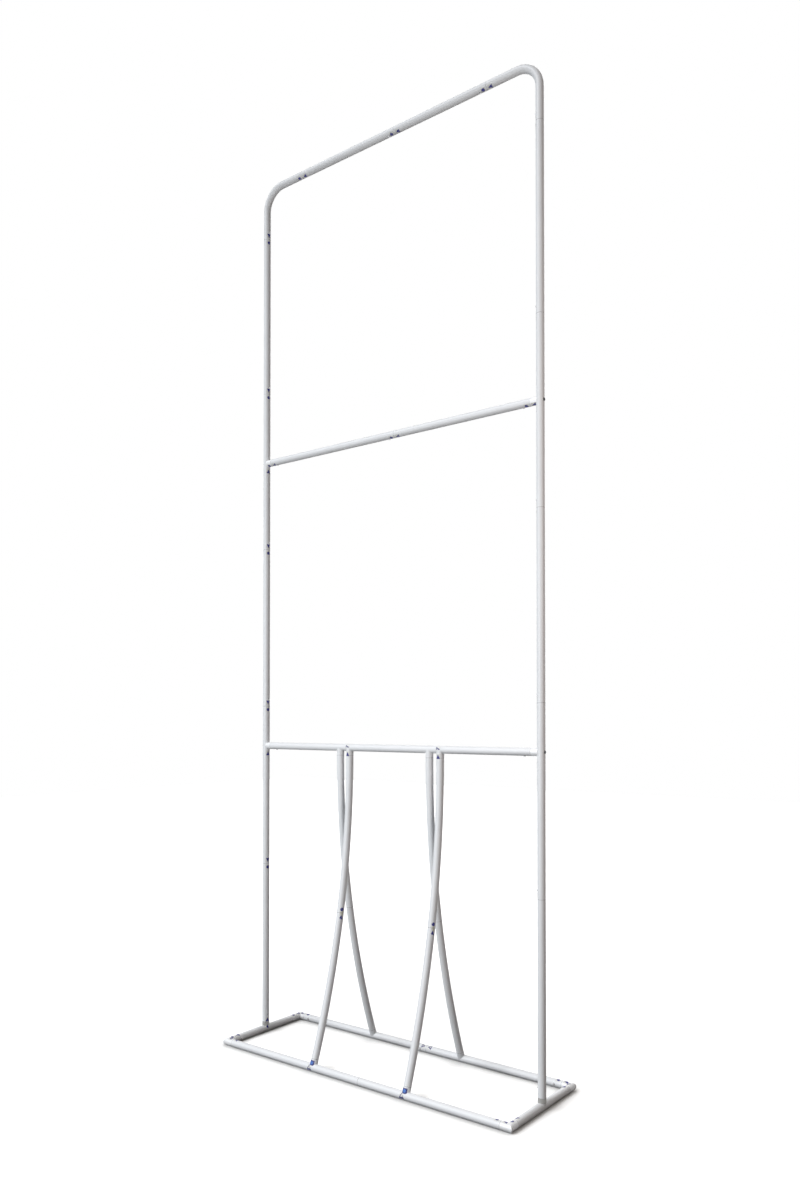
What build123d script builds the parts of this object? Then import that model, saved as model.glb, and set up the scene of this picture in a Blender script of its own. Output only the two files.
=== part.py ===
from build123d import *
import os
from math import asin, cos, degrees, radians, sin

# A free-standing display totem frame of plug-together aluminium tube, in millimetres.
# The origin is on the floor under the middle of the base. X runs along the width,
# the front of the frame faces -Y and Z is up. Left and right are as seen from the front.

# Overall sizes, over the outsides of the tubes
overall_width = 1500.0
overall_depth = 500.0
overall_height = 4000.0

# The tube that every member is made of
tube_diameter = 32.0

# Length of the plug that joins two tubes
plug_reach = 76.0

# Posts and top bar
post_section_count = 5
post_collar_height = 18.0
top_bend_radius = 100.0
top_bend_arm = 234.0
top_bend_steps = 8

# Crossbars, by the heights of their axes
mid_bar_height = 2680.0
low_bar_height = 1344.0
end_fitting_length = 24.0
cope_setback = 8.0
seat_clearance = 0.1

# Legs, two pairs between the low bar and the base
leg_pair_offset = 242.0
leg_stagger = 27.0
leg_collar_length = 18.0
leg_curve_steps = 3

# Base ring
corner_arm = 36.0

# Spring buttons that lock the joints
button_width = 8.0
button_sides = 8
button_length = 9.0
button_rise = 3.5
button_tip_chamfer = 1.4
button_inset = 32.0
button_travel = 5.2
button_clearance = 0.15
pocket_spare_depth = 1.0

tube_radius = tube_diameter / 2
post_x = overall_width / 2 - tube_radius
base_y = overall_depth / 2 - tube_radius
base_z = tube_radius
top_z = overall_height - tube_radius
first_seam_z = base_z + tube_radius + post_collar_height
last_seam_z = top_z - top_bend_arm
post_section_length = (last_seam_z - first_seam_z) / post_section_count
top_seam_x = post_x - top_bend_arm
fitting_seam_x = post_x - tube_radius - end_fitting_length
base_seam_x = post_x - corner_arm
base_seam_y = base_y - corner_arm

# Each leg's axis is one arc, plumb under the low bar's collar and meeting the base bar's axis
leg_seam_reach = tube_radius + leg_collar_length
leg_top_z = low_bar_height - leg_seam_reach
leg_drop = leg_top_z - base_z
leg_curve_radius = (base_y ** 2 + leg_drop ** 2) / (2 * base_y)
leg_turn = degrees(asin(leg_drop / leg_curve_radius))
leg_foot_turn = leg_turn - degrees(leg_seam_reach / leg_curve_radius)
leg_plug_turn = degrees(plug_reach / leg_curve_radius)
leg_seam_turn = (leg_foot_turn + leg_plug_turn) / 2

sides = {"left": -1, "right": 1}
ends = {"front": -1, "rear": 1}
to_right, to_rear, up = Vector(1, 0, 0), Vector(0, 1, 0), Vector(0, 0, 1)

parts = {}
buttons = {}


def rod(start, end, diameter=tube_diameter):
    """A straight round member between two points on its axis."""
    run = Vector(end) - Vector(start)
    return Solid.make_cylinder(diameter / 2, run.length, Plane(Vector(start), z_dir=run))


def arc_planes(centre, spoke, heading, turns):
    """Planes square to an arc, at each turn in degrees from the end of its spoke."""
    across = heading.cross(spoke).normalized()
    planes = []
    for turn in turns:
        sine, cosine = sin(radians(turn)), cos(radians(turn))
        point = centre + spoke * cosine + heading * (spoke.length * sine)
        direction = heading * cosine - spoke.normalized() * sine
        planes.append(Plane(point, x_dir=across, z_dir=direction))
    return planes


def bent_rod(planes):
    """A round member through each plane in turn, in short straight steps."""
    return loft([plane * Circle(tube_radius) for plane in planes], ruled=True)


def evenly(first, last, steps):
    """Evenly spaced values from first to last."""
    return [first + (last - first) * number / steps for number in range(steps + 1)]


def prism(foot, outward, width, length):
    """A many-sided bar that stands on a point and points outward."""
    profile = RegularPolygon(width / 2, button_sides, major_radius=False)
    return extrude(Plane(foot, z_dir=outward) * profile, length)


def pocket(axis_point, outward):
    """The blind hole that a spring button slides in, open at the tube's surface."""
    floor = tube_radius + button_rise - button_length - button_travel - pocket_spare_depth
    foot = axis_point + outward * floor
    return prism(foot, outward, button_width + 2 * button_clearance, tube_diameter - floor)


def button(axis_point, outward):
    """A spring button with a bevelled tip, standing out of the tube at rest."""
    foot = axis_point + outward * (tube_radius + button_rise - button_length)
    pin = prism(foot, outward, button_width, button_length)
    tip = pin.faces().sort_by(Axis(foot, outward))[-1]
    return chamfer(tip.edges(), button_tip_chamfer)


def add_button(node, group, axis_point, outward):
    """Cuts a button's pocket in a node and adds the button to its group."""
    parts[node] = parts[node] - pocket(axis_point, outward)
    buttons.setdefault(group, []).append(button(axis_point, outward))


def add_posts():
    """Two posts of equal sections, each locked at its lower end."""
    for name, side in sides.items():
        x = side * post_x
        for number in range(post_section_count):
            node = f"{name}_post_section_{number + 1}"
            low = first_seam_z + number * post_section_length
            parts[node] = rod((x, 0, low), (x, 0, low + post_section_length))
            add_button(node, f"{name}_post_buttons", Vector(x, 0, low + button_inset), to_right * -side)


def add_top_bends():
    """The rounded corners that turn each post into the top bar."""
    for name, side in sides.items():
        node = f"top_{name}_bend"
        inward = to_right * -side
        centre = Vector(side * (post_x - top_bend_radius), 0, top_z - top_bend_radius)
        curve = arc_planes(centre, inward * -top_bend_radius, up, evenly(0, 90, top_bend_steps))
        foot = curve[0].offset(last_seam_z - centre.Z)
        head = curve[-1].offset(top_bend_arm - top_bend_radius)
        parts[node] = bent_rod([foot] + curve + [head])
        seam = Vector(side * post_x, 0, last_seam_z)
        add_button(node, f"{name}_post_buttons", seam + up * button_inset, inward)


def add_split_bar(name, reach, y, z, inward):
    """A level bar along X in two tubes, with a button at each end and at the seam."""
    left, right = f"{name}_left", f"{name}_right"
    seam_x = plug_reach / 2
    parts[left] = rod((-reach, y, z), (seam_x, y, z))
    parts[right] = rod((seam_x, y, z), (reach, y, z))
    group = f"{name}_buttons"
    add_button(left, group, Vector(-reach + button_inset, y, z), inward)
    add_button(left, group, Vector(seam_x - button_inset, y, z), inward)
    add_button(right, group, Vector(reach - button_inset, y, z), inward)


def add_low_bar():
    """The bar that carries the legs' collars, in one piece."""
    z = low_bar_height
    bar = rod((-fitting_seam_x, 0, z), (fitting_seam_x, 0, z))
    for side in sides.values():
        for end in ends.values():
            x = leg_x(side, end)
            bar = bar + rod((x, 0, z), (x, 0, leg_top_z))
    parts["low_bar"] = bar
    for side in sides.values():
        inset_x = side * (fitting_seam_x - button_inset)
        add_button("low_bar", "low_bar_buttons", Vector(inset_x, 0, z), -up)


def end_fitting(side, z):
    """A short tube from a crossbar to a post, hollowed to sit on the post."""
    stub = rod((side * (post_x - cope_setback), 0, z), (side * fitting_seam_x, 0, z))
    seat_diameter = tube_diameter + 2 * seat_clearance
    seat = rod((side * post_x, 0, z - tube_diameter), (side * post_x, 0, z + tube_diameter), seat_diameter)
    return stub - seat


def leg_x(side, end):
    """Where a leg stands along the width: the two of a pair pass side by side."""
    return side * leg_pair_offset - end * leg_stagger


def leg_planes(side, end, turns):
    """Planes square to a leg's axis, by its turn from plumb."""
    centre = Vector(leg_x(side, end), end * leg_curve_radius, leg_top_z)
    return arc_planes(centre, to_rear * (-end * leg_curve_radius), -up, turns)


def add_legs():
    """Four legs on one curve, each in an upper and a lower tube."""
    for side_name, side in sides.items():
        for end_name, end in ends.items():
            upper_turns = evenly(0, leg_seam_turn, leg_curve_steps)
            lower_turns = evenly(leg_seam_turn, leg_foot_turn, leg_curve_steps)
            leg = f"{side_name}_{end_name}_leg"
            parts[f"{leg}_upper"] = bent_rod(leg_planes(side, end, upper_turns))
            parts[f"{leg}_lower"] = bent_rod(leg_planes(side, end, lower_turns))


def foot_collar(side, end):
    """The stub on a base bar that a leg's foot plugs on to."""
    seam = leg_planes(side, end, [leg_foot_turn])[0]
    axis_point = Vector(leg_x(side, end), end * base_y, base_z)
    length = (axis_point - seam.origin).dot(seam.z_dir)
    return Solid.make_cylinder(tube_radius, length, seam)


def add_base_bars():
    """Split bars at the front and rear, and a bar at each side under its post."""
    for end_name, end in ends.items():
        name = f"base_{end_name}_bar"
        add_split_bar(name, base_seam_x, end * base_y, base_z, to_rear * -end)
        for side_name, side in sides.items():
            node = f"{name}_{side_name}"
            parts[node] = parts[node] + foot_collar(side, end)
    for side_name, side in sides.items():
        x = side * post_x
        node = f"base_{side_name}_bar"
        bar = rod((x, -base_seam_y, base_z), (x, base_seam_y, base_z))
        parts[node] = bar + rod((x, 0, base_z), (x, 0, first_seam_z))
        for end in ends.values():
            inset_y = end * (base_seam_y - button_inset)
            add_button(node, f"base_{side_name}_buttons", Vector(x, inset_y, base_z), to_right * -side)


def base_corner(side, end):
    """Two short tubes joined on a mitre."""
    x, y = side * post_x, end * base_y
    path = Polyline((side * base_seam_x, y, base_z), (x, y, base_z), (x, end * base_seam_y, base_z))
    section = Plane(path @ 0, z_dir=path % 0) * Circle(tube_radius)
    return sweep(section, path, transition=Transition.RIGHT)


def write(node, shape):
    """Writes one sub-part to its own file."""
    export_step(shape, f"parts/{node}.step")


add_posts()
add_top_bends()
add_split_bar("top_bar", top_seam_x, 0, top_z, -up)
add_split_bar("mid_bar", fitting_seam_x, 0, mid_bar_height, -up)
add_low_bar()
add_legs()
add_base_bars()
fittings = [end_fitting(side, z) for side in sides.values() for z in (mid_bar_height, low_bar_height)]
corners = [base_corner(side, end) for side in sides.values() for end in ends.values()]

os.makedirs("parts", exist_ok=True)
for node, shape in parts.items():
    write(node, shape)
for group, pins in buttons.items():
    write(group, Compound(children=pins))
write("crossbar_end_fittings", Compound(children=fittings))
write("base_corners", Compound(children=corners))
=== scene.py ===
from math import asin, cos, pi, radians, sin

import bmesh
import bpy
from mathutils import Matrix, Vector


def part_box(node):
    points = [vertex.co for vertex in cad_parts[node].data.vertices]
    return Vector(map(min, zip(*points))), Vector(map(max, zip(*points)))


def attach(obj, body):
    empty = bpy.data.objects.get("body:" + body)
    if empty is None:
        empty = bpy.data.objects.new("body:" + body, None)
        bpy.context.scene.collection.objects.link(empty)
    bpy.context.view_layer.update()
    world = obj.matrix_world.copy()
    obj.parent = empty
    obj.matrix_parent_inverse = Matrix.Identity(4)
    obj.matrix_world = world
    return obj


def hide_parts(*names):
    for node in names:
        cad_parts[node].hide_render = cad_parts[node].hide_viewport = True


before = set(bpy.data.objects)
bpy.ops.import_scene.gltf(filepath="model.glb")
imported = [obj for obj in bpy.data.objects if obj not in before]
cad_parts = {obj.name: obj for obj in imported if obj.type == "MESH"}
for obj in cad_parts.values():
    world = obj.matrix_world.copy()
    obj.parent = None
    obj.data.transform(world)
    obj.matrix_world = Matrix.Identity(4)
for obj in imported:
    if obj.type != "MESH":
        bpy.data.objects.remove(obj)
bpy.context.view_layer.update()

# Looks of a tall display totem frame of plug-together aluminium tube, in metres.
# X runs along the width, the front faces -Y and Z is up, with the origin on the floor.

BODY = "frame"
X, Y, Z = Vector((1, 0, 0)), Vector((0, 1, 0)), Vector((0, 0, 1))
SIDES = {"left": -1, "right": 1}
ENDS = {"front": -1, "rear": 1}

# Sizes read from the frame


def low(node):
    """A node's lowest corner."""
    return Vector(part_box(node)[0])


def high(node):
    """A node's highest corner."""
    return Vector(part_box(node)[1])


tube_radius = (high("mid_bar_left").z - low("mid_bar_left").z) / 2
post_x = (high("right_post_section_1").x + low("right_post_section_1").x) / 2
base_y = (high("base_rear_bar_left").y - low("base_corners").y) / 2 - tube_radius
base_z = tube_radius
top_z = high("top_bar_left").z - tube_radius
mid_z = high("mid_bar_left").z - tube_radius
low_bar_z = high("low_bar").z - tube_radius
first_seam_z = low("left_post_section_1").z
section_length = high("left_post_section_1").z - first_seam_z
last_seam_z = low("top_left_bend").z
top_seam_x = high("top_bar_right").x
fitting_seam_x = high("mid_bar_right").x
base_seam_x = high("base_front_bar_right").x
base_seam_y = high("base_left_bar").y
middle_seam_x = high("top_bar_left").x

# Sizes that no node's box gives
bend_radius = 0.1
button_inset = 0.032
collar_length = 0.018

# Where the split bars have their seams
top_seams = (-top_seam_x, middle_seam_x, top_seam_x)
mid_seams = (-fitting_seam_x, middle_seam_x, fitting_seam_x)
low_seams = (-fitting_seam_x, fitting_seam_x)
base_seams = (-base_seam_x, middle_seam_x, base_seam_x)

# Each leg's axis is one arc, plumb at the top, which meets the base bar's axis
leg_top_z = low("low_bar").z
leg_drop = leg_top_z - base_z
leg_curve = (base_y ** 2 + leg_drop ** 2) / (2 * base_y)
leg_end_turn = asin(leg_drop / leg_curve) - (tube_radius + collar_length) / leg_curve
leg_middle_turn = (leg_end_turn + 2 * middle_seam_x / leg_curve) / 2
leg_x = {
    (side, end): (low(f"{side}_{end}_leg_upper").x + high(f"{side}_{end}_leg_upper").x) / 2
    for side in SIDES
    for end in ENDS
}

# Camera: the photograph's viewpoint, as pixels of its 800 by 1200 frame

PHOTO_HEIGHT = 1200
FOCAL_PIXELS = 933.74
HORIZON_PIXEL = 704.79
CAMERA_PLACE = (2.4555, -3.1236, 1.467)
CAMERA_HEADING = radians(37.456)
CAMERA_RISE = radians(0.902)
SENSOR = 36


def add_camera():
    """A nearly level camera in front of the right-hand side, with its frame shifted up."""
    data = bpy.data.cameras.new("camera")
    data.sensor_fit = "VERTICAL"
    data.sensor_height = SENSOR
    data.lens = FOCAL_PIXELS * SENSOR / PHOTO_HEIGHT
    data.shift_y = HORIZON_PIXEL / PHOTO_HEIGHT - 0.5
    data.clip_end = 60
    camera = bpy.data.objects.new("camera", data)
    camera.location = CAMERA_PLACE
    camera.rotation_euler = (pi / 2 + CAMERA_RISE, 0, CAMERA_HEADING)
    bpy.context.collection.objects.link(camera)
    bpy.context.scene.camera = camera


# Materials


class Nodes:
    """The node tree of a material or world, with short ways to add and join nodes."""

    def __init__(self, owner):
        owner.use_nodes = True
        self.owner = owner
        self.tree = owner.node_tree
        self.tree.nodes.clear()

    def add(self, kind, settings=None, **inputs):
        """Adds a node, sets its properties, and sets or links its inputs."""
        node = self.tree.nodes.new(kind)
        for key, value in (settings or {}).items():
            setattr(node, key, value)
        for key, value in inputs.items():
            socket = node.inputs[key.replace("_", " ")]
            if isinstance(value, bpy.types.NodeSocket):
                self.tree.links.new(value, socket)
            else:
                socket.default_value = value
        return node

    def output(self, shader):
        """Ends the tree in a shader and returns its owner."""
        is_world = isinstance(self.owner, bpy.types.World)
        kind = "ShaderNodeOutputWorld" if is_world else "ShaderNodeOutputMaterial"
        end = self.tree.nodes.new(kind)
        self.tree.links.new(shader.outputs[0], end.inputs["Surface"])
        return self.owner

    def join(self, output, node, number):
        """Links an output to one of a node's numbered inputs."""
        self.tree.links.new(output, node.inputs[number])

    def maths(self, operation, *values):
        """A calculation on sockets and numbers."""
        node = self.add("ShaderNodeMath", {"operation": operation})
        for number, value in enumerate(values):
            if isinstance(value, bpy.types.NodeSocket):
                self.join(value, node, number)
            else:
                node.inputs[number].default_value = value
        return node.outputs[0]

    def where_seen(self, shown, hidden):
        """One shader for what the eye, gloss and glass see, and another for diffuse light."""
        path = self.add("ShaderNodeLightPath")
        glossy, through = path.outputs["Is Glossy Ray"], path.outputs["Is Transmission Ray"]
        mirrored = self.maths("MAXIMUM", glossy, through)
        seen = self.maths("MAXIMUM", path.outputs["Is Camera Ray"], mirrored)
        mix = self.add("ShaderNodeMixShader", Fac=seen)
        self.join(hidden.outputs[0], mix, 1)
        self.join(shown.outputs[0], mix, 2)
        return mix

    def stretched(self, scales):
        """Object coordinates, scaled along each axis."""
        coordinates = self.add("ShaderNodeTexCoord")
        place = coordinates.outputs["Object"]
        mapping = self.add("ShaderNodeMapping", Vector=place, Scale=scales)
        return mapping.outputs["Vector"]

    def ramp(self, factor, *stops):
        """A colour ramp with (place, colour) stops."""
        node = self.add("ShaderNodeValToRGB", Fac=factor)
        elements = node.color_ramp.elements
        while len(elements) < len(stops):
            elements.new(0.5)
        for element, (place, colour) in zip(elements, stops):
            element.position = place
            element.color = (*colour, 1)
        return node.outputs["Color"]

    def noise(self, vector, scale, detail=4.0, roughness=0.5):
        """A noise texture's value."""
        node = self.add(
            "ShaderNodeTexNoise", Vector=vector, Scale=scale, Detail=detail, Roughness=roughness
        )
        return node.outputs["Fac"]

    def spread(self, value, low_end, high_end):
        """A 0 to 1 value spread between two others."""
        node = self.add("ShaderNodeMapRange", Value=value, To_Min=low_end, To_Max=high_end)
        return node.outputs["Result"]


EVEN = (1, 1, 1)
LINES_ACROSS, LINES_ALONG, LINES_SHARE = 900.0, 6.0, 0.35
CLOUD_SCALE, GRAIN_SCALE = 9.0, 1600.0
TUBE_DARK, TUBE_LIGHT = (0.735, 0.75, 0.78), (0.80, 0.815, 0.84)
TUBE_ROUGHNESS = (0.40, 0.54)


def satin_aluminium(name, direction):
    """Anodised tube: faint draw lines along it, cloudy tone, and a soft sheen."""
    nodes = Nodes(bpy.data.materials.new(name))
    scales = tuple(LINES_ALONG if part else LINES_ACROSS for part in direction)
    lines = nodes.noise(nodes.stretched(scales), 1.0, detail=3.0)
    clouds = nodes.noise(nodes.stretched(EVEN), CLOUD_SCALE, detail=5.0, roughness=0.6)
    grain = nodes.noise(nodes.stretched(EVEN), GRAIN_SCALE, detail=2.0)
    cloud_tone = nodes.spread(clouds, 0.0, 1 - LINES_SHARE)
    tone = nodes.maths("MULTIPLY_ADD", lines, LINES_SHARE, cloud_tone)
    colour = nodes.ramp(tone, (0.25, TUBE_DARK), (0.75, TUBE_LIGHT))
    drawn = nodes.add("ShaderNodeBump", Strength=0.05, Distance=0.0002, Height=lines)
    fine = nodes.add(
        "ShaderNodeBump", Strength=0.03, Distance=0.0001, Height=grain, Normal=drawn.outputs[0]
    )
    shader = nodes.add(
        "ShaderNodeBsdfPrincipled",
        Base_Color=colour,
        Metallic=0.05,
        Specular_IOR_Level=0.12,
        Roughness=nodes.spread(clouds, *TUBE_ROUGHNESS),
        Normal=fine.outputs[0],
    )
    return nodes.output(shader)


ROUGH_SPREAD = 0.08


def speckled(name, dark, light, scale, rough, metal=0.0):
    """A plain finish with a fine speckle in its colour, gloss and surface."""
    nodes = Nodes(bpy.data.materials.new(name))
    speck = nodes.noise(nodes.stretched(EVEN), scale)
    relief = nodes.add("ShaderNodeBump", Strength=0.1, Distance=0.0001, Height=speck)
    shader = nodes.add(
        "ShaderNodeBsdfPrincipled",
        Base_Color=nodes.ramp(speck, (0.3, dark), (0.7, light)),
        Metallic=metal,
        Roughness=nodes.spread(speck, rough - ROUGH_SPREAD, rough + ROUGH_SPREAD),
        Normal=relief.outputs[0],
    )
    return nodes.output(shader)


tube_x = satin_aluminium("satin_tube_across", X)
tube_y = satin_aluminium("satin_tube_deep", Y)
tube_z = satin_aluminium("satin_tube_upright", Z)
blasted = speckled("blasted_aluminium", (0.72, 0.735, 0.76), (0.79, 0.80, 0.82), 700, 0.5, 0.15)
# Near-black for the dark joint in each seam's gap, and for the painted shadow in the ring round
# each button.
shadow_gap = speckled("dark_joint_and_painted_shadow", (0.05, 0.05, 0.05), (0.10, 0.10, 0.10), 800, 0.8)
steel = speckled("button_steel", (0.35, 0.35, 0.36), (0.48, 0.48, 0.50), 900, 0.35, 0.8)
black_steel = speckled(
    "black_bolt", (0.012, 0.012, 0.013), (0.030, 0.030, 0.032), 900, 0.4, 0.3
)
ink = speckled("blue_ink", (0.008, 0.009, 0.10), (0.018, 0.020, 0.20), 1200, 0.5)
bright_ink = speckled("bright_blue_ink", (0.04, 0.13, 0.42), (0.07, 0.20, 0.60), 1200, 0.5)
# A darker grey than the tubes, for the sleeves at the posts' feet.
darker_sleeve_colour = speckled(
    "darker_collar_sleeve", (0.30, 0.30, 0.29), (0.40, 0.40, 0.39), 500, 0.5, 0.3
)
old_glue = speckled("yellowed_glue", (0.30, 0.30, 0.20), (0.85, 0.84, 0.55), 260, 0.4)
label = speckled("clear_label", (0.66, 0.67, 0.66), (0.74, 0.75, 0.73), 300, 0.3)

# Mesh building

FULL_SIDES = 64
SHARP_EDGE = radians(35)


def skin(bm, rings, closed=True, caps=(False, False), material=0):
    """Joins rings of points with faces, closes each ring if asked, and caps the ends."""
    rows = [[bm.verts.new(point) for point in ring] for ring in rings]
    count = len(rows[0])
    for first, second in zip(rows, rows[1:]):
        for number in range(count if closed else count - 1):
            after = (number + 1) % count
            corners = (first[number], first[after], second[after], second[number])
            bm.faces.new(corners).material_index = material
    if caps[0]:
        bm.faces.new(rows[0][::-1]).material_index = material
    if caps[1]:
        bm.faces.new(rows[-1]).material_index = material


def finish_piece(name, bm, materials, body=BODY):
    """Turns a bmesh into a smooth-shaded piece that rides on a body."""
    bmesh.ops.recalc_face_normals(bm, faces=bm.faces)
    for face in bm.faces:
        face.smooth = True
    for edge in bm.edges:
        if len(edge.link_faces) == 2:
            edge.smooth = edge.calc_face_angle() < SHARP_EDGE
    mesh = bpy.data.meshes.new(name)
    bm.to_mesh(mesh)
    bm.free()
    for material in materials:
        mesh.materials.append(material)
    piece = bpy.data.objects.new(name, mesh)
    bpy.context.collection.objects.link(piece)
    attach(piece, body)
    return piece


def square_to(direction):
    """Two unit directions square to a third and to each other."""
    helper = Z if abs(direction.z) < 0.9 else X
    first = direction.cross(helper).normalized()
    return first, direction.cross(first).normalized()


def turns_of(count):
    """The turns, in radians, of evenly spaced points round a ring."""
    return [2 * pi * number / count for number in range(count)]


def circle(centre, first, second, radius, count=FULL_SIDES):
    """A ring of points in the plane of two directions."""
    return [
        centre + first * (radius * cos(turn)) + second * (radius * sin(turn))
        for turn in turns_of(count)
    ]


def turned(bm, base, axis, profile, count, material=0, caps=(False, False)):
    """A turned shape: profile gives its (height, radius) along an axis."""
    first, second = square_to(axis)
    rings = [
        circle(base + axis * height, first, second, radius, count) for height, radius in profile
    ]
    skin(bm, rings, caps=caps, material=material)


# Smooth bends and legs

CHAMFER = 0.0005
BEND_STEPS, LEG_STEPS = 48, 24


def tube_along(bm, stations):
    """A tube through (centre, first, second) stations, with chamfered ends."""
    start, end = stations[0], stations[-1]
    heading_in = (stations[1][0] - start[0]).normalized()
    heading_out = (end[0] - stations[-2][0]).normalized()
    inner = tube_radius - CHAMFER
    rings = [circle(*start, inner)]
    rings.append(circle(start[0] + heading_in * CHAMFER, *start[1:], tube_radius))
    rings += [circle(*station, tube_radius) for station in stations[1:-1]]
    rings.append(circle(end[0] - heading_out * CHAMFER, *end[1:], tube_radius))
    rings.append(circle(*end, inner))
    skin(bm, rings, caps=(True, True))


def arc_stations(centre, spoke, heading, turns):
    """Stations along an arc that starts at a spoke's end and sets off along a heading."""
    side = spoke.normalized().cross(heading)
    stations = []
    for turn in turns:
        outward = spoke.normalized() * cos(turn) + heading * sin(turn)
        stations.append((centre + outward * spoke.length, side, outward))
    return stations


def evenly(first, last, steps):
    """Evenly spaced values from first to last."""
    return [first + (last - first) * number / steps for number in range(steps + 1)]


def add_bends():
    """The two rounded top corners, smooth all the way round."""
    for name, side in SIDES.items():
        centre = Vector((side * (post_x - bend_radius), 0, top_z - bend_radius))
        spoke = X * (side * bend_radius)
        curve = arc_stations(centre, spoke, Z, evenly(0, pi / 2, BEND_STEPS))
        foot = (Vector((side * post_x, 0, last_seam_z)), *curve[0][1:])
        head = (Vector((side * top_seam_x, 0, top_z)), *curve[-1][1:])
        bm = bmesh.new()
        tube_along(bm, [foot] + curve + [head])
        piece = finish_piece(f"rounded_{name}_corner", bm, [tube_z])
        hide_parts(f"top_{name}_bend")


def leg_stations(side, end, turns):
    """Stations on a leg's axis, by how far it has turned from plumb."""
    way = ENDS[end]
    centre = Vector((leg_x[side, end], way * leg_curve, leg_top_z))
    return arc_stations(centre, Y * (-way * leg_curve), -Z, turns)


def add_legs():
    """Four legs on one smooth curve, each in two tubes."""
    spans = {"upper": (0, leg_middle_turn), "lower": (leg_middle_turn, leg_end_turn)}
    for side in SIDES:
        for end in ENDS:
            for part, (first, last) in spans.items():
                bm = bmesh.new()
                tube_along(bm, leg_stations(side, end, evenly(first, last, LEG_STEPS)))
                piece = finish_piece(f"{side}_{end}_{part}_curved_leg", bm, [tube_z])
                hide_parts(f"{side}_{end}_leg_{part}")


# Seams, where one tube meets the next

LIP, LIP_WIDTH, GROOVE = 0.00007, 0.0009, 0.00035
SEAM_SIDES = 112
METAL, GAP = 0, 1


def seam(bm, centre, axis):
    """A shallow groove between two rounded tube ends."""
    rim = tube_radius + LIP
    floor = tube_radius + LIP / 2
    near_lip = [(-LIP_WIDTH, tube_radius - LIP), (-LIP_WIDTH * 0.6, rim), (-GROOVE, rim)]
    gap = [(-GROOVE, rim), (-GROOVE * 0.7, floor), (GROOVE * 0.7, floor), (GROOVE, rim)]
    far_lip = [(GROOVE, rim), (LIP_WIDTH * 0.6, rim), (LIP_WIDTH, tube_radius - LIP)]
    for profile, material in ((near_lip, METAL), (gap, GAP), (far_lip, METAL)):
        turned(bm, centre, axis, profile, count=SEAM_SIDES, material=material)


def post_seam_heights():
    """Heights of the seams of a post, from its collar to its bend."""
    count = round((last_seam_z - first_seam_z) / section_length)
    return [first_seam_z + section_length * number for number in range(count + 1)]


def bar_seams(y, z, seams):
    """The seams of a bar along X, as (centre, axis) pairs."""
    return [(Vector((x, y, z)), X) for x in seams]


def leg_seams():
    """The three seams of each leg."""
    places = []
    for side in SIDES:
        for end in ENDS:
            for turn in (0, leg_middle_turn, leg_end_turn):
                centre, across, outward = leg_stations(side, end, [turn])[0]
                places.append((centre, across.cross(outward)))
    return places


def add_seams():
    """Every seam of the frame, by group, with the metal of its tubes."""
    sides, ways = SIDES.values(), ENDS.values()
    posts = [(Vector((side * post_x, 0, z)), Z) for side in sides for z in post_seam_heights()]
    base_bars = [seat for way in ways for seat in bar_seams(way * base_y, base_z, base_seams)]
    base_sides = [
        (Vector((side * post_x, way * base_seam_y, base_z)), Y) for side in sides for way in ways
    ]
    groups = {
        "post_seams": (tube_z, posts),
        "top_bar_seams": (tube_x, bar_seams(0, top_z, top_seams)),
        "mid_bar_seams": (tube_x, bar_seams(0, mid_z, mid_seams)),
        "low_bar_seams": (tube_x, bar_seams(0, low_bar_z, low_seams)),
        "base_bar_seams": (tube_x, base_bars),
        "base_side_seams": (tube_y, base_sides),
        "leg_seams": (tube_z, leg_seams()),
    }
    for name, (metal, places) in groups.items():
        bm = bmesh.new()
        for centre, axis in places:
            seam(bm, centre, axis)
        finish_piece(name, bm, [metal, shadow_gap])


def add_collars():
    """Thin sleeves, darker than the tubes, on the collars that the posts stand in."""
    bm = bmesh.new()
    for side in SIDES.values():
        base = Vector((side * post_x, 0, base_z))
        foot, top = tube_radius * 0.9, first_seam_z - base_z - LIP_WIDTH
        outer = tube_radius + LIP
        sleeve = [(foot, tube_radius), (foot, outer), (top, outer), (top, tube_radius)]
        turned(bm, base, Z, sleeve, count=SEAM_SIDES)
    finish_piece("post_collar_sleeves", bm, [darker_sleeve_colour])


# Spring buttons and bolts

BUTTON_RADIUS, BUTTON_RISE, BUTTON_ROOT = 0.004, 0.0035, -0.0055
ROOT_RADIUS, DOME_HEIGHT, DOME_FLAT = 0.0038, 0.0016, 0.35
RIM_RADIUS, RIM_LIFT = 0.00465, 0.00005
BUTTON_SIDES, RIM_SIDES, DOME_STEPS = 28, 32, 6


def button_places():
    """Each button group's (axis point, outward direction) pairs."""
    places = {}
    for name, side in SIDES.items():
        heights = [z + button_inset for z in post_seam_heights()]
        inward = X * -side
        places[f"{name}_post_buttons"] = [(Vector((side * post_x, 0, z)), inward) for z in heights]
        ys = (-(base_seam_y - button_inset), base_seam_y - button_inset)
        places[f"base_{name}_buttons"] = [(Vector((side * post_x, y, base_z)), inward) for y in ys]

    def along_bar(seams, y, z, outward):
        """Buttons beside a bar's seams, each on the side nearer the bar's middle."""
        xs = [x + button_inset if x < 0 else x - button_inset for x in seams]
        return [(Vector((x, y, z)), outward) for x in xs]

    places["top_bar_buttons"] = along_bar(top_seams, 0, top_z, -Z)
    places["mid_bar_buttons"] = along_bar(mid_seams, 0, mid_z, -Z)
    places["low_bar_buttons"] = along_bar(low_seams, 0, low_bar_z, -Z)
    for end, way in ENDS.items():
        name = f"base_{end}_bar_buttons"
        places[name] = along_bar(base_seams, way * base_y, base_z, Y * -way)
    return places


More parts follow.
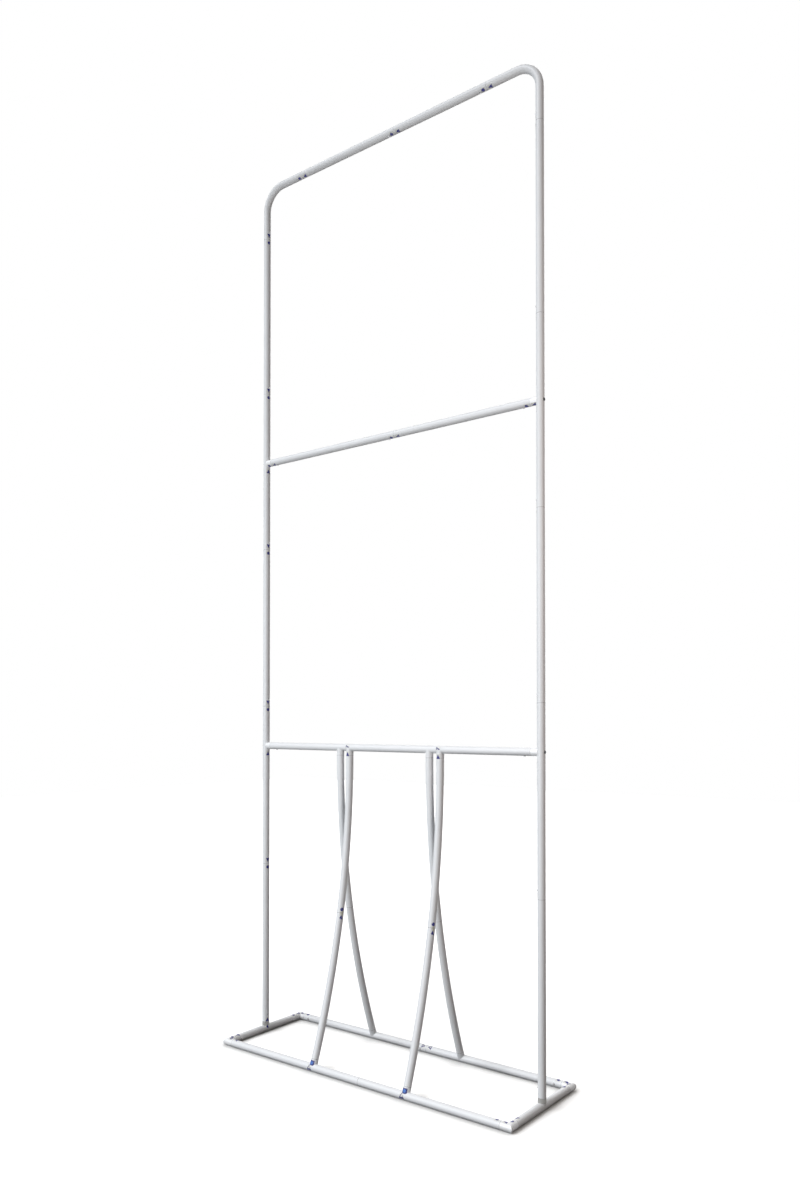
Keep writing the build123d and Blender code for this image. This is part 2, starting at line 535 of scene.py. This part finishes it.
def dome_profile():
    """A button's (height, radius) points, from its root to its domed tip."""
    profile = [(BUTTON_ROOT, ROOT_RADIUS), (DOME_HEIGHT, BUTTON_RADIUS)]
    for turn in evenly(0, pi / 2 - 0.15, DOME_STEPS):
        height = BUTTON_RISE - DOME_HEIGHT + DOME_HEIGHT * sin(turn)
        profile.append((height, BUTTON_RADIUS * (DOME_FLAT + (1 - DOME_FLAT) * cos(turn))))
    return profile


def add_buttons():
    """Round domed buttons in place of the plain pins, each in a dark ring of painted shadow where
    the clearance gap would be.
    """
    rims = bmesh.new()
    for group, places in button_places().items():
        bm = bmesh.new()
        for axis_point, outward in places:
            base = axis_point + outward * tube_radius
            turned(bm, base, outward, dome_profile(), count=BUTTON_SIDES, caps=(True, True))
            # Painted shadow: a dark ring laid on the tube where the button's clearance gap would
            # be shaded.
            ring_on_tube(rims, axis_point, outward, BUTTON_RADIUS, RIM_RADIUS)
        piece = finish_piece(f"{group}_domed", bm, [steel], body=group)
        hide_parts(group)
    finish_piece("button_painted_shadow_rims", rims, [shadow_gap])


def on_tube(axis_point, outward, along, u, v, lift):
    """A point on a tube's surface: u round it and v along it, in metres."""
    around = along.cross(outward)
    turn = u / tube_radius
    reach = tube_radius + lift
    return axis_point + along * v + (outward * cos(turn) + around * sin(turn)) * reach


def ring_on_tube(bm, axis_point, outward, inner, outer):
    """A flat ring that lies on a tube round a button."""
    along = tube_axis_at(axis_point)
    rings = []
    for radius in (inner, outer):
        spots = [(radius * cos(turn), radius * sin(turn)) for turn in turns_of(RIM_SIDES)]
        rings.append([on_tube(axis_point, outward, along, u, v, RIM_LIFT) for u, v in spots])
    skin(bm, rings)


def tube_axis_at(point):
    """The direction of the tube that a point lies in."""
    on_post = abs(abs(point.x) - post_x) < 0.001
    if on_post and point.z > 2 * tube_radius:
        return Z
    return Y if on_post else X


FLANGE = [(-0.0012, 0.0066), (0.0004, 0.0068), (0.0009, 0.0066), (0.0010, 0.0050)]
HEAD_FOOT, HEAD_RADIUS = FLANGE[-1]
HEAD_HEIGHT, HEAD_TURN, HEAD_STEPS = 0.0026, 1.0, 6
SOCKET_APOTHEM, SOCKET_DEPTH = 0.0022, 0.0018
BOLT_SIDES = 36
WELD_REACH = 0.00002


def add_bolts():
    """Black flanged button-head bolts on the outer sides of the posts."""
    bm = bmesh.new()
    head = [
        (HEAD_FOOT + HEAD_HEIGHT * sin(turn), HEAD_RADIUS * cos(turn))
        for turn in evenly(0.1, HEAD_TURN, HEAD_STEPS)
    ]
    top, rim_radius = head[-1]
    for side in SIDES.values():
        for z in (mid_z, low_bar_z):
            outward = X * side
            base = Vector((side * post_x, 0, z)) + outward * tube_radius
            turned(bm, base, outward, FLANGE + head, count=BOLT_SIDES, caps=(True, False))
            first, second = square_to(outward)
            rim = circle(base + outward * top, first, second, rim_radius, BOLT_SIDES)
            mouth = hexagon(base + outward * top, first, second, SOCKET_APOTHEM, BOLT_SIDES)
            bottom = base + outward * (top - SOCKET_DEPTH)
            floor = hexagon(bottom, first, second, SOCKET_APOTHEM, BOLT_SIDES)
            skin(bm, [rim, mouth, floor], caps=(False, True))
    bmesh.ops.remove_doubles(bm, verts=bm.verts, dist=WELD_REACH)
    finish_piece("crossbar_bolts", bm, [black_steel])


def hexagon(centre, first, second, apothem, count):
    """Points round a hexagon."""
    points = []
    for turn in turns_of(count):
        reach = apothem / cos((turn + pi / 6) % (pi / 3) - pi / 6)
        points.append(centre + first * (reach * cos(turn)) + second * (reach * sin(turn)))
    return points


# Assembly marks: plain triangles, dots and squares in blue ink on clear labels

MARK, PAIR_OFFSET = 0.0093, 0.0165
LABEL_LIFT, INK_LIFT, PAPER_LIFT = 0.00008, 0.00014, 0.00020
INK, LABEL, BRIGHT_INK, GLUE = range(4)
PATCH_STEPS, TRIANGLE_STEPS, ROUND_STEPS = 8, 8, 12


def patch(bm, spot, outline, lift, material):
    """A thin patch on a tube. The outline is rows of (v, lowest u, highest u)."""
    axis_point, outward, along = spot
    rows = []
    for v, left, right in outline:
        us = evenly(left, right, PATCH_STEPS)
        rows.append([on_tube(axis_point, outward, along, u, v, lift) for u in us])
    skin(bm, rows, closed=False, material=material)


def triangle(size, way):
    """Rows of a triangle that points along way, 1 or -1."""
    return [
        (way * size * (2 * t - 1), -size * (1 - t), size * (1 - t))
        for t in evenly(0, 0.98, TRIANGLE_STEPS)
    ]


def triangle_round(size, way):
    """Rows of a triangle that points round the tube, 1 or -1."""
    rows = []
    for v in evenly(-size, size, ROUND_STEPS):
        tip = way * (size - 2 * abs(v))
        rows.append((v, min(tip, -way * size), max(tip, -way * size)))
    return rows


def dot(size):
    """Rows of a round dot."""
    return [
        (size * sin(turn), -size * cos(turn), size * cos(turn))
        for turn in evenly(-1.5, 1.5, ROUND_STEPS)
    ]


def rectangle(half_length, half_width):
    """Rows of a rectangle."""
    return [(v, -half_width, half_width) for v in (-half_length, half_length)]


def inner_triangle(way):
    """Rows of the clear middle of an open triangle."""
    share, shift = 0.42, way * MARK * 0.25
    rows = triangle(MARK, way)
    return [(v * share - shift, left * share, right * share) for v, left, right in rows]


def mark(bm, point, outward, along, kind, way=1):
    """One mark on its label: filled, open, round, dot or square."""
    spot = (point, outward, along)
    patch(bm, spot, rectangle(MARK * 1.15, MARK * 1.15), LABEL_LIFT, LABEL)
    if kind == "dot":
        patch(bm, spot, dot(MARK * 0.8), INK_LIFT, INK)
    elif kind == "square":
        patch(bm, spot, rectangle(MARK * 1.1, MARK * 1.3), INK_LIFT, INK)
        patch(bm, spot, dot(MARK * 0.75), PAPER_LIFT, BRIGHT_INK)
    elif kind == "round":
        patch(bm, spot, triangle_round(MARK * 1.35, way), INK_LIFT, INK)
        patch(bm, spot, triangle_round(MARK * 0.6, way), PAPER_LIFT, LABEL)
    else:
        patch(bm, spot, triangle(MARK, way), INK_LIFT, INK)
    if kind == "open":
        patch(bm, spot, inner_triangle(way), PAPER_LIFT, LABEL)


def mark_pair(bm, seam_point, outward, along, kind="filled"):
    """Two marks across a seam: a filled triangle that points at a dot, or two alike."""
    other = "dot" if kind == "filled" else kind
    mark(bm, seam_point + along * PAIR_OFFSET, outward, along, kind, -1)
    mark(bm, seam_point - along * PAIR_OFFSET, outward, along, other, 1)


POST_MARK_TURN, UNDER_FRONT = 0.26, Vector((0, -0.36, -0.93))
BELOW_MID_BAR, BELOW_LOW_BAR, ABOVE_COLLAR, ABOVE_BASE = 0.037, 0.036, 0.010, 0.012
END_TILT, SIDE_TILT, INNER_TILT, FOOT_TILT = 0.12, 0.22, 0.7, 0.3


def mark_posts(bm):
    """Pairs at each seam of the posts, and single triangles by the crossbars and the base."""
    singles = (
        mid_z - BELOW_MID_BAR,
        low_bar_z - BELOW_LOW_BAR,
        first_seam_z + ABOVE_COLLAR,
        base_z + ABOVE_BASE,
    )
    for side in SIDES.values():
        inward = Vector((-side, -POST_MARK_TURN, 0)).normalized()
        for z in post_seam_heights()[1:]:
            mark_pair(bm, Vector((side * post_x, 0, z)), inward, Z)
        for z in singles:
            mark(bm, Vector((side * post_x, 0, z)), inward, Z, "filled", 1)


def mark_bars(bm):
    """Pairs under the front of the top and mid bars."""
    under_front = UNDER_FRONT.normalized()
    for z, seams in ((top_z, top_seams), (mid_z, mid_seams)):
        for x in seams:
            mark_pair(bm, Vector((x, 0, z)), under_front, X)


def mark_base(bm):
    """Pairs on both sides of each corner, and open ones inside the rear bar."""
    for way in ENDS.values():
        tilt = (Z - Y * (way * END_TILT)).normalized()
        for x in (-base_seam_x, base_seam_x):
            mark_pair(bm, Vector((x, way * base_y, base_z)), tilt, X)
        for side in SIDES.values():
            lean = (Z - X * (side * SIDE_TILT)).normalized()
            mark_pair(bm, Vector((side * post_x, way * base_seam_y, base_z)), lean, Y)
    inner = (Z - Y * INNER_TILT).normalized()
    mark_pair(bm, Vector((middle_seam_x, base_y, base_z)), inner, X, "open")


LEG_MARK_WAY = Vector((0.86, -0.51, 0))
GLUE_HALF_LENGTH, GLUE_HALF_WIDTH = 0.011, 0.0065
ABOVE_LOW_BAR, ABOVE_LEG_TOP = 0.002, 0.006
FOOT_MARK_TURN, FOOT_MARK_SHIFT = 0.0045, 0.009


def mark_front_leg(bm, side):
    """A front leg's marks, from its middle seam to its collar and its foot."""
    centre, across, outward = leg_stations(side, "front", [leg_middle_turn])[0]
    down = across.cross(outward).normalized()
    glue = rectangle(GLUE_HALF_LENGTH, GLUE_HALF_WIDTH)
    patch(bm, (centre, LEG_MARK_WAY, down), glue, LABEL_LIFT, GLUE)
    mark_pair(bm, centre, LEG_MARK_WAY, down)
    x = leg_x[side, "front"]
    mark(bm, Vector((x, 0, low_bar_z + ABOVE_LOW_BAR)), -Y, X, "open", 1)
    mark(bm, Vector((x, 0, leg_top_z + ABOVE_LEG_TOP)), -Y, Z, "filled", 1)
    stations = leg_stations(side, "front", [leg_end_turn + FOOT_MARK_TURN])
    foot, foot_side, foot_back = stations[0]
    mark(bm, foot, foot_back * -1, foot_side.cross(foot_back) * -1, "square", 1)
    tilt = (-Y + Z * FOOT_TILT).normalized()
    mark(bm, Vector((x - FOOT_MARK_SHIFT, -base_y, base_z)), tilt, X, "round", -1)


def add_marks():
    """Marks at the posts, bars, base and legs, on the faces that the photograph shows."""
    bm = bmesh.new()
    mark_posts(bm)
    mark_bars(bm)
    mark_base(bm)
    for side in SIDES:
        mark_front_leg(bm, side)
    finish_piece("assembly_marks", bm, [ink, label, bright_ink, old_glue])


# Floor, lamps and world

WHITE = (1, 1, 1, 1)
FLOOR_TONE, FLOOR_GLOW = 0.72, 0.66
SHADOW_REACH, WHITE_REACH = 0.95, 1.9
# Reach and steepness of the contact shadow painted into the floor's glow.
PAINTED_SHADOW_REACH, PAINTED_SHADOW_POWER = 0.10, 4.0
BOUNCE_TONE = (0.08, 0.07, 0.065, 1)
FLOOR_HALF = 14.0


def add_floor():
    """A white floor that keeps the frame's soft shadow, with a contact shadow painted into its
    glow next to the frame, and glows evenly further out.
    """
    nodes = Nodes(bpy.data.materials.new("studio_floor"))
    place = nodes.add("ShaderNodeTexCoord").outputs["Object"]
    length = nodes.add("ShaderNodeVectorMath", {"operation": "LENGTH"}, Vector=place)
    reach = length.outputs["Value"]
    far = nodes.add(
        "ShaderNodeMapRange",
        Value=reach,
        From_Min=SHADOW_REACH,
        From_Max=WHITE_REACH,
        To_Min=FLOOR_GLOW,
        To_Max=1.0,
    )
    pale = nodes.add("ShaderNodeBsdfDiffuse", Color=(FLOOR_TONE, FLOOR_TONE, FLOOR_TONE, 1))
    # Painted shadow: ambient occlusion dims the floor's glow, darker where the frame is close.
    contact = nodes.add("ShaderNodeAmbientOcclusion", {"samples": 16}, Distance=PAINTED_SHADOW_REACH)
    glow_after_painted_shadow = nodes.maths("POWER", contact.outputs["AO"], PAINTED_SHADOW_POWER)
    strength = nodes.maths("MULTIPLY", far.outputs["Result"], glow_after_painted_shadow)
    glow = nodes.add("ShaderNodeEmission", Color=WHITE, Strength=strength)
    bright = nodes.add("ShaderNodeAddShader")
    nodes.join(pale.outputs[0], bright, 0)
    nodes.join(glow.outputs[0], bright, 1)
    dim = nodes.add("ShaderNodeBsdfDiffuse", Color=BOUNCE_TONE)
    material = nodes.output(nodes.where_seen(bright, dim))
    bm = bmesh.new()
    corners = ((-1, -1), (1, -1), (1, 1), (-1, 1))
    bm.faces.new([bm.verts.new((x * FLOOR_HALF, y * FLOOR_HALF, 0)) for x, y in corners])
    mesh = bpy.data.meshes.new("floor")
    bm.to_mesh(mesh)
    bm.free()
    mesh.materials.append(material)
    floor = bpy.data.objects.new("floor", mesh)
    bpy.context.collection.objects.link(floor)


def add_world():
    """A white surround for the eye, gloss and glass, which adds no other light."""
    world = bpy.data.worlds.new("studio")
    bpy.context.scene.world = world
    nodes = Nodes(world)
    dark = nodes.add("ShaderNodeBackground", Color=WHITE, Strength=0.0)
    white = nodes.add("ShaderNodeBackground", Color=WHITE, Strength=1.0)
    nodes.output(nodes.where_seen(white, dark))


SUN_DISTANCE = 9


def add_softbox(name, place, aim, share, size, colour):
    """A square lamp. Its share is the tone that it alone gives a white surface it faces."""
    data = bpy.data.lights.new(name, "AREA")
    data.shape = "SQUARE"
    data.size = size
    reach = Vector(place) - Vector(aim)
    data.energy = share * (pi * reach.length) ** 2
    data.color = colour
    lamp = bpy.data.objects.new(name, data)
    lamp.location = place
    lamp.rotation_euler = reach.to_track_quat("Z", "Y").to_euler()
    lamp.visible_camera = False
    bpy.context.collection.objects.link(lamp)


def add_sun(name, towards, share, softness, colour):
    """A wide distant lamp, the same at every height, which stands towards a direction."""
    towards = Vector(towards).normalized()
    data = bpy.data.lights.new(name, "SUN")
    data.energy = share * pi
    data.angle = radians(softness)
    data.color = colour
    lamp = bpy.data.objects.new(name, data)
    lamp.location = towards * SUN_DISTANCE
    lamp.rotation_euler = towards.to_track_quat("Z", "Y").to_euler()
    bpy.context.collection.objects.link(lamp)


def add_lighting():
    """Wide light from above, the front left and the rear, and two softboxes, one warm."""
    add_sun("overhead", (0, 0, 1), 0.14, 70, (1.0, 0.97, 0.9))
    add_sun("rear", (-0.15, 0.88, 0.45), 0.34, 60, (1.0, 0.98, 0.96))
    add_sun("front_left_high", (-0.40, -0.60, 0.68), 0.56, 35, (0.97, 0.98, 1.0))
    add_softbox("front", (-0.8, -4.2, 2.0), (0, 0, 2.0), 0.54, 1.6, (0.95, 0.99, 1.0))
    add_softbox("right", (3.0, -1.2, 2.4), (post_x, 0, 2.4), 0.42, 1.0, (1.0, 0.88, 0.80))


# The carried-over solids

TUBES_ALONG_X = ("mid_bar", "low_bar", "top_bar", "base_front", "base_rear")
TUBES_ALONG_Y = ("base_left_bar", "base_right_bar")
BLASTED_PIECES = ("crossbar_end_fittings", "base_corners")


def dress_nodes():
    """Gives each solid the finish that runs along it."""
    for name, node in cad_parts.items():
        if name.startswith(TUBES_ALONG_X):
            metal = tube_x
        elif name in TUBES_ALONG_Y:
            metal = tube_y
        elif name in BLASTED_PIECES:
            metal = blasted
        else:
            metal = tube_z
        node.data.materials.clear()
        node.data.materials.append(metal)


add_camera()
dress_nodes()
add_bends()
add_legs()
add_seams()
add_collars()
add_buttons()
add_bolts()
add_marks()
add_floor()
add_world()
add_lighting()
bpy.context.scene.view_settings.view_transform = "Standard"
